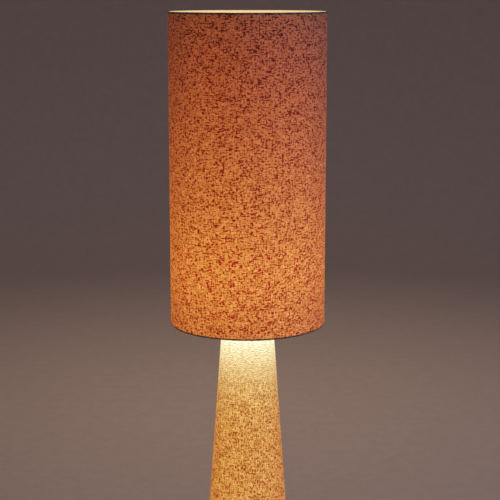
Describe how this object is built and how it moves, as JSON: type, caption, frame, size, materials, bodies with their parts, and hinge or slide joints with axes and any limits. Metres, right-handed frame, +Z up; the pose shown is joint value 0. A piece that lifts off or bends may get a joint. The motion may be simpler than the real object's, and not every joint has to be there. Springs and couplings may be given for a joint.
{
  "type": "column floor lamp",
  "caption": "Tall drum shade of slub linen on a tapered fabric-covered column that is also lit from inside, with a weighted round foot.",
  "frame": {"origin": "on the floor, at the middle of the round foot", "axes": "+Z up along the column, -Y towards the front, +Y towards the cord's grommet"},
  "size_m": [0.35, 0.35, 1.5],
  "materials": {
    "shade_linen": "slub linen weave, natural with rust flecks",
    "column_linen": "slub linen weave, natural with rust flecks",
    "white_liner": "matt white laminate",
    "coated_wire": "white powder coat",
    "white_plate": "white powder coat",
    "cast_foot": "black paint on cast iron",
    "floor_felt": "matt black foam rubber",
    "zinc_steel": "bright zinc",
    "holder_plastic": "white moulded plastic",
    "insert_ceramic": "cream glazed",
    "contact_brass": "pressed brass",
    "bulb_opal": "opal diffuser",
    "bulb_white": "white moulded plastic",
    "bulb_nickel": "nickel plate",
    "lead_sheath": "white sheath",
    "block_plastic": "grey-white plastic",
    "grommet_rubber": "black rubber"
  },
  "bodies": {
    "root": {"base_plate": "cast_foot", "bracket_nut": "zinc_steel", "bracket_screw": "zinc_steel", "bracket_stub": "zinc_steel", "centre_tube": "coated_wire", "column_bottom_ring": "coated_wire", "column_fabric": "column_linen", "column_liner": "white_liner", "column_top_plate": "white_plate", "column_top_ring": "coated_wire", "cord_grommet": "grommet_rubber", "floor_pad": "floor_felt", "foot_nut": "zinc_steel", "foot_washer": "zinc_steel", "holder_bracket": "zinc_steel", "lead_clips": "holder_plastic", "lower_holder_barrel": "holder_plastic", "lower_holder_cap": "holder_plastic", "lower_holder_contact": "contact_brass", "lower_holder_insert": "insert_ceramic", "lower_holder_screw_shell": "contact_brass", "lower_lead": "lead_sheath", "lower_stub": "zinc_steel", "terminal_block": "block_plastic", "terminal_screws": "zinc_steel", "top_nut": "zinc_steel", "upper_holder_barrel": "holder_plastic", "upper_holder_cap": "holder_plastic", "upper_holder_contact": "contact_brass", "upper_holder_insert": "insert_ceramic", "upper_holder_screw_shell": "contact_brass", "upper_lead": "lead_sheath", "upper_stub": "zinc_steel"},
    "shade": {"shade_bottom_ring": "coated_wire", "shade_carrier_ring": "coated_wire", "shade_fabric": "shade_linen", "shade_liner": "white_liner", "shade_spokes": "coated_wire", "shade_top_ring": "coated_wire"},
    "clamp_ring": {"shade_clamp_ring": "holder_plastic"},
    "upper_bulb": {"upper_bulb_body": "bulb_white", "upper_bulb_diffuser": "bulb_opal", "upper_bulb_screw_cap": "bulb_nickel", "upper_bulb_tip": "contact_brass"},
    "lower_bulb": {"lower_bulb_body": "bulb_white", "lower_bulb_diffuser": "bulb_opal", "lower_bulb_screw_cap": "bulb_nickel", "lower_bulb_tip": "contact_brass"}
  },
  "joints": [
    {"name": "shade_lift", "type": "slide", "parent": "root", "child": "shade", "axis": [0, 0, 1], "range_m": [0, 0.16]},
    {"name": "clamp_ring_lift", "type": "slide", "parent": "shade", "child": "clamp_ring", "axis": [0, 0, 1], "range_m": [0, 0.12]},
    {"name": "upper_bulb_unscrew", "type": "slide", "parent": "root", "child": "upper_bulb", "axis": [0, 0, 1], "range_m": [0, 0.026]},
    {"name": "lower_bulb_unscrew", "type": "slide", "parent": "root", "child": "lower_bulb", "axis": [0, 0, 1], "range_m": [0, 0.026]}
  ]
}
